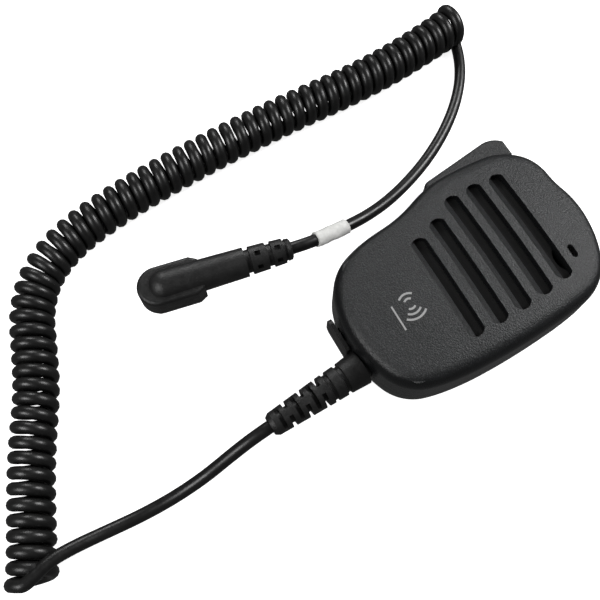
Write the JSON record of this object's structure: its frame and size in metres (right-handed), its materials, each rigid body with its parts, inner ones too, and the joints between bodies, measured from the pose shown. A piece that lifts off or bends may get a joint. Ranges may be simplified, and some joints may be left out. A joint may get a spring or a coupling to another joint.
{
  "type": "hand microphone",
  "caption": "Black hand microphone with a slotted speaker grille, a push-to-talk side bar, a swivel back clip and a curly cord ending in a right-angle twin-pin plug.",
  "frame": {"origin": "centre of the back clip's flat resting face, on which the microphone lies", "axes": "+Z out of the grille face, +Y along the case towards the end away from the cord, +X to the right seen from the front"},
  "size_m": [0.1239, 0.2197, 0.0345],
  "materials": {
    "case_plastic": "fine spark texture, satin",
    "button_plastic": "fine spark texture, satin",
    "cord_rubber": "smooth, semi-gloss",
    "moulded_rubber": "moulded, fine grain",
    "felt": "thin black felt",
    "steel": "zinc plated",
    "spring_steel": "drawn wire",
    "plated_contact": "nickel plated",
    "board": "green solder mask",
    "inner_plastic": "plain black",
    "cone_paper": "pressed paper",
    "magnet": "ferrite",
    "label_paper": "plain pale wrap",
    "can_metal": "drawn can"
  },
  "bodies": {
    "case": {"front_shell": "case_plastic", "rear_shell": "case_plastic", "case_screws": "steel", "grille_cloth": "felt", "speaker_frame": "steel", "speaker_cone": "cone_paper", "speaker_magnet": "magnet", "speaker_retainer": "steel", "retainer_screws": "steel", "mic_boot": "moulded_rubber", "mic_element": "can_metal", "circuit_board": "board", "board_screws": "steel", "audio_capacitor": "can_metal", "wire_header": "inner_plastic", "ptt_pin": "steel", "ptt_switch": "inner_plastic", "jack_socket": "inner_plastic", "jack_strap": "moulded_rubber", "strain_relief": "moulded_rubber", "plug_body": "moulded_rubber", "plug_relief": "moulded_rubber", "plug_large_sleeve": "plated_contact", "plug_large_insulator": "inner_plastic", "plug_large_tip": "plated_contact", "plug_small_sleeve": "plated_contact", "plug_small_insulator": "inner_plastic", "plug_small_tip": "plated_contact", "cord_tail_mic": "cord_rubber", "cord_coil": "cord_rubber", "cord_tail_plug": "cord_rubber", "cord_label": "label_paper"},
    "ptt": {"ptt_button": "button_plastic"},
    "plunger": {"ptt_plunger": "inner_plastic"},
    "cover": {"jack_cover": "moulded_rubber"},
    "clip_base": {"clip_swivel": "inner_plastic", "clip_washer": "steel", "clip_screw": "steel", "clip_pin": "steel", "clip_spring": "spring_steel"},
    "clip_lever": {"clip_arm": "inner_plastic"}
  },
  "joints": [
    {"name": "ptt_press", "type": "hinge", "parent": "case", "child": "ptt", "pos_m": [-0.027, 0.0062, 0.021], "axis": [0, 0, -1], "range_deg": [0, 3], "stiffness_Nm_per_rad": 0.6, "springref_deg": -2.86},
    {"name": "plunger_press", "type": "slide", "parent": "case", "child": "plunger", "axis": [1, 0, 0], "range_m": [0, 0.00116]},
    {"name": "jack_cover_open", "type": "hinge", "parent": "case", "child": "cover", "pos_m": [0.0009, -0.0429, 0.0194], "axis": [0, 0, 1], "range_deg": [0, 90]},
    {"name": "clip_swivel_turn", "type": "hinge", "parent": "case", "child": "clip_base", "pos_m": [0, 0.01, 0.0075], "axis": [0, 0, 1], "continuous": true},
    {"name": "clip_open", "type": "hinge", "parent": "clip_base", "child": "clip_lever", "pos_m": [0, 0.01, 0.0042], "axis": [1, 0, 0], "range_deg": [0, 24], "stiffness_Nm_per_rad": 0.5, "springref_deg": -45.84, "deforming": ["clip_spring"]}
  ],
  "couplings": [
    {"joint": "plunger_press", "follows": "ptt_press", "m_per_rad": 0.0218}
  ]
}
